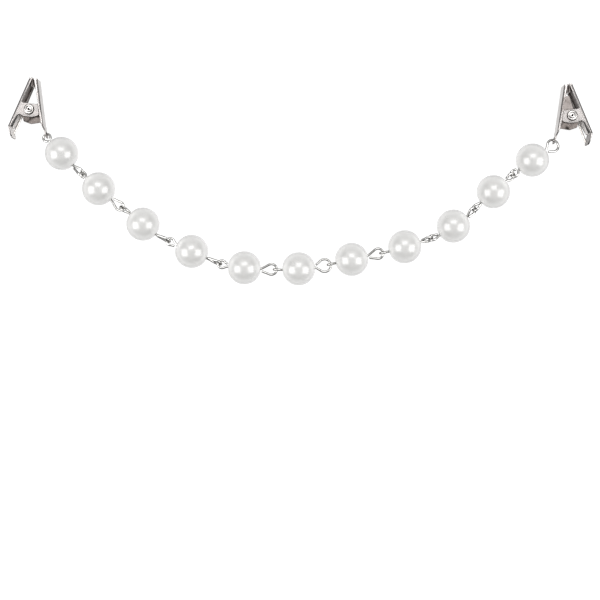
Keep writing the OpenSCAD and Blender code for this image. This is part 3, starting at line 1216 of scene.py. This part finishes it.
# The web across the window, which only the right clip has
def makeWeb(name, flat):
    s = ringSettings
    sideTop, sideLow = s["webSide"]
    outline = roundedOutline([
        (ringX(s["webTop"]) - s["webInset"], s["webTop"], 0.05),
        (sideTop, s["webTop"], 0.2),
        (sideLow, s["webLow"], 0.05),
        (ringX(s["webLow"]) - s["webInset"], s["webLow"], 0.05),
    ])
    high = middleZ + flat
    web = prism(name, outline, high - sheet + shrink, high - shrink)
    softenEdges(web, s["webEdge"])
    # The web's upper face gets painted shade
    for face in web.data.polygons:
        face.material_index = slotOf("paintedShade" if face.normal.z > faceLimits["webUp"] else "sheet")
    return web


def makeRingLever(name, webbed):
    s = ringSettings
    origin, along, inward = backLine(ringX, 1)
    width = clipSettings["innerWidth"]
    bar = channelBar(name + "Bar", channelProfile(width, s["fold"]), origin, along, inward)
    lowHalf = prism("lowOutline", ringOutline(s["bulgeLow"]), prismLow, middleZ)
    highHalf = prism("highOutline", ringOutline(s["bulgeHigh"]), middleZ, prismHigh)
    carve(bar, carve(lowHalf, highHalf, "UNION"), "INTERSECT")
    finishChannel(bar, origin, inward, width, s)
    parts = [bar, makeTab(name + "Tab", width / 2)] + makeJaw(name + "Fold", ringX, 1, width)
    if webbed:
        parts.append(makeWeb(name + "Web", width / 2))
    return joinParts(name, parts)


# Where a clip lies; the right one is the left one mirrored
def clipPlace(side):
    x, y = clipSettings[side + "Pivot"]
    stand = shift(x, y, 0) @ spin("Z", clipSettings[side + "Turn"])
    return stand @ Matrix.Scale(-1, 4, (1, 0, 0)) if side == "right" else stand


# Rivet: rolled head, inner ring and dished hole, the same at both ends

rivetSettings = {
    "headRadius": 1.59,
    "barrelRadius": 0.9,
    "holeRadius": 0.25,
    "grooveRadius": 0.88,
    "top": 7.99,
    "low": 0.01,
    "flatLimit": 0.8,
    "segments": 72,
}


def makeRivet(name):
    s = rivetSettings
    head = s["headRadius"]
    barrel = s["barrelRadius"]
    hole = s["holeRadius"]
    groove = s["grooveRadius"]
    # One end of the profile as (radius, depth from the end face)
    endProfile = [
        (hole, 1.6), (hole, 0.3), (hole + 0.03, 0.12), (hole + 0.08, 0.04), (hole + 0.14, 0.01),
        (hole + 0.2, 0.0), (groove - 0.13, 0.0), (groove - 0.09, 0.015), (groove - 0.06, 0.08),
        (groove, 0.16), (groove + 0.06, 0.08), (groove + 0.09, 0.015), (groove + 0.13, 0.0),
        (head - 0.3, 0.0), (head - 0.25, 0.015), (head - 0.16, 0.12), (head - 0.06, 0.26),
        (head, 0.35), (head - 0.03, 0.4), (barrel + 0.1, 0.4), (barrel + 0.02, 0.42),
        (barrel, 0.5), (barrel, 1.6),
    ]
    low = [(r, s["low"] + d) for r, d in endProfile]
    high = [(r, s["top"] - d) for r, d in reversed(endProfile)]
    rivet = outwardFaces(lathe(name, low + high, s["segments"]))
    rivet.data.materials.append(rivetMaterial)
    rivet.data.materials.append(blackShadeMaterial)
    # Black painted shade on the steep faces: a dark ring at the head's edge and in the walls of its groove
    # and hole
    for face in rivet.data.polygons:
        face.material_index = 1 if abs(face.normal.z) < s["flatLimit"] else 0
    return rivet


# Spring: wound wire with one arm in each lever

springSettings = {
    "coilRadius": 1.4,
    "wireRadius": 0.3,
    "turns": 5,
    "low": 2.36,
    "high": 5.64,
    "ringEnd": (3.8, -3.6),
    "leftFingerEnd": (-3.86, -7.9),
    "rightFingerEnd": (-3.45, -8.5),
    "sides": 14,
    "stepAngle": 9.0,
    "spacing": 0.14,
    "endRounding": 0.12,
    "blendReach": 0.7,
}


def makeSpring(name, fingerEnd):
    s = springSettings
    radius = s["coilRadius"]
    ringEnd = Vector(s["ringEnd"])
    ringTangent = heading(ringEnd) + math.degrees(math.acos(radius / ringEnd.length))
    fingerTangent = heading(fingerEnd) - math.degrees(math.acos(radius / fingerEnd.length))
    sweep = (fingerTangent - ringTangent) % 360 + 360 * s["turns"]
    steps = int(sweep / s["stepAngle"])
    path = [Vector((ringEnd.x, ringEnd.y, s["low"]))]
    for k in range(steps + 1):
        angle = rad(ringTangent + sweep * k / steps)
        height = s["low"] + (s["high"] - s["low"]) * k / steps
        path.append(Vector((radius * math.cos(angle), radius * math.sin(angle), height)))
    path.append(Vector((fingerEnd.x, fingerEnd.y, s["high"])))
    spring = addMesh(name, path, [], chainEdges(path))
    return runTree(spring, wireTree, {
        "Wire Radius": s["wireRadius"],
        "End Rounding": s["endRounding"],
        "Point Spacing": s["spacing"],
        "Sides": s["sides"],
        "Material": springMaterial,
    })


for side in ("left", "right"):
    stand = clipPlace(side)
    finger = makeFingerLever(side + "FingerLever", fingerSettings[side + "LipInnerShading"])
    place(finger, stand)
    smoothMesh(finger, clipSettings["sharpAngle"])
    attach(finger, side + "_finger")
    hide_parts(side + "_finger_lever")
    ring = makeRingLever(side + "RingLever", side == "right")
    place(ring, stand)
    smoothMesh(ring, clipSettings["sharpAngle"])
    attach(ring, "strand")
    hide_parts(side + "_ring_lever")
    rivet = makeRivet(side + "Rivet")
    place(rivet, stand)
    rivet.data.shade_smooth()
    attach(rivet, "strand")
    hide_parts(side + "_rivet")
    spring = makeSpring(side + "Spring", Vector(springSettings[side + "FingerEnd"]))
    place(spring, stand)
    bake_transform(spring)
    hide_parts(side + "_spring")
    print(side, "clip made")


# Table, lights and camera

# The stage is in metres, the lens in millimetres
stageSettings = {
    "tableSize": 6.0,
    "tableDrop": 0.00005,
    "tableGlow": 0.96,
    "tableColor": (0.13, 0.13, 0.13, 1),
    "backdropColor": (0.86, 0.86, 0.87, 1),
    "cameraHeight": 0.425,
    "cameraY": -0.03558,
    "lens": 84.0,
    "sensorWidth": 36.0,
}

# Brightness of the room around the object, from straight down (0) to straight up (1)
roomSettings = [
    (0.0, 0.9),
    (0.08, 0.7),
    (0.17, 0.16),
    (0.60, 0.12),
    (0.72, 0.28),
    (0.82, 0.42),
    (1.0, 0.5),
]

# Centre, direction of the width and of the height, width, height, power
softboxSettings = {
    "leftBox": ((-0.74, -0.2, 0.62), (-0.654, 0.094, -0.75), (0.095, -0.975, -0.202), 0.78, 0.76, 6.8),
    "rightBox": ((0.74, -0.2, 0.62), (0.654, 0.094, -0.75), (-0.095, -0.975, -0.202), 0.78, 0.76, 6.8),
    "topBox": ((0, 0.49, 1.1), (1, 0, 0), (0, -0.914, 0.407), 0.8, 0.52, 4.2),
    "farBox": ((0, 1.15, 0.8), (1, 0, 0), (0, -0.57, 0.82), 2.4, 1.5, 5.5),
}


def makeTable():
    size = stageSettings["tableSize"] / 2
    corners = [(-size, -size, 0), (size, -size, 0), (size, size, 0), (-size, size, 0)]
    table = addMesh("table", corners, [[0, 1, 2, 3]])
    material = bpy.data.materials.new("tableMaterial")
    material.use_nodes = True
    principled = material.node_tree.nodes["Principled BSDF"]
    principled.inputs["Base Color"].default_value = stageSettings["tableColor"]
    principled.inputs["Roughness"].default_value = 0.7
    principled.inputs["Emission Color"].default_value = (1, 1, 1, 1)
    principled.inputs["Emission Strength"].default_value = stageSettings["tableGlow"]
    table.data.materials.append(material)
    table.location.z = -stageSettings["tableDrop"]
    table.visible_glossy = False  # polished metal keeps its dark outlines


def addSoftbox(name, centre, across, along, width, height, power):
    lamp = bpy.data.lights.new(name, "AREA")
    lamp.shape = "RECTANGLE"
    lamp.size = width
    lamp.size_y = height
    lamp.energy = power
    thing = addObject(name, lamp)
    upAxis = Vector(along).normalized()
    wideAxis = Vector(across)
    wideAxis = (wideAxis - upAxis * wideAxis.dot(upAxis)).normalized()
    backAxis = wideAxis.cross(upAxis)
    if backAxis.dot(Vector(centre)) < 0:
        wideAxis = -wideAxis
        backAxis = -backAxis
    turn = Matrix((wideAxis, upAxis, backAxis)).transposed().to_4x4()
    thing.matrix_world = Matrix.Translation(centre) @ turn
    thing.visible_camera = False


def makeRoom():
    world = bpy.data.worlds.new("studio")
    world.use_nodes = True
    tree = world.node_tree
    tree.nodes.clear()
    coordinates = addNode(tree, "ShaderNodeTexCoord", -800, 0)
    parts = addNode(tree, "ShaderNodeSeparateXYZ", -600, 0, {0: coordinates.outputs["Generated"]})
    upward = addNode(tree, "ShaderNodeMapRange", -420, 0, {
        "Value": parts.outputs["Z"],
        "From Min": -1,
        "From Max": 1,
    })
    ramp = addNode(tree, "ShaderNodeValToRGB", -240, 0, {"Fac": upward.outputs["Result"]})
    elements = ramp.color_ramp.elements
    while len(elements) < len(roomSettings):
        elements.new(0.5)
    for element, (position, value) in zip(elements, roomSettings):
        element.position = position
        element.color = (value, value, value, 1)
    ray = addNode(tree, "ShaderNodeLightPath", -240, 300)
    seen = ray.outputs["Is Camera Ray"]
    color = addColorMix(tree, 40, 100, seen, ramp.outputs["Color"], stageSettings["backdropColor"])
    background = addNode(tree, "ShaderNodeBackground", 240, 100, {"Color": color})
    addNode(tree, "ShaderNodeOutputWorld", 440, 100, {"Surface": background.outputs["Background"]})
    return world


makeTable()
for boxName, box in softboxSettings.items():
    addSoftbox(boxName, *box)
scene = bpy.context.scene
scene.world = makeRoom()
scene.view_settings.view_transform = "Standard"

lens = bpy.data.cameras.new("camera")
lens.lens = stageSettings["lens"]
lens.sensor_width = stageSettings["sensorWidth"]
lens.clip_start = 0.01
lens.clip_end = 20
camera = addObject("camera", lens)
camera.location = (0, stageSettings["cameraY"], stageSettings["cameraHeight"])
scene.camera = camera
print("stage made")

bpy.context.view_layer.update()
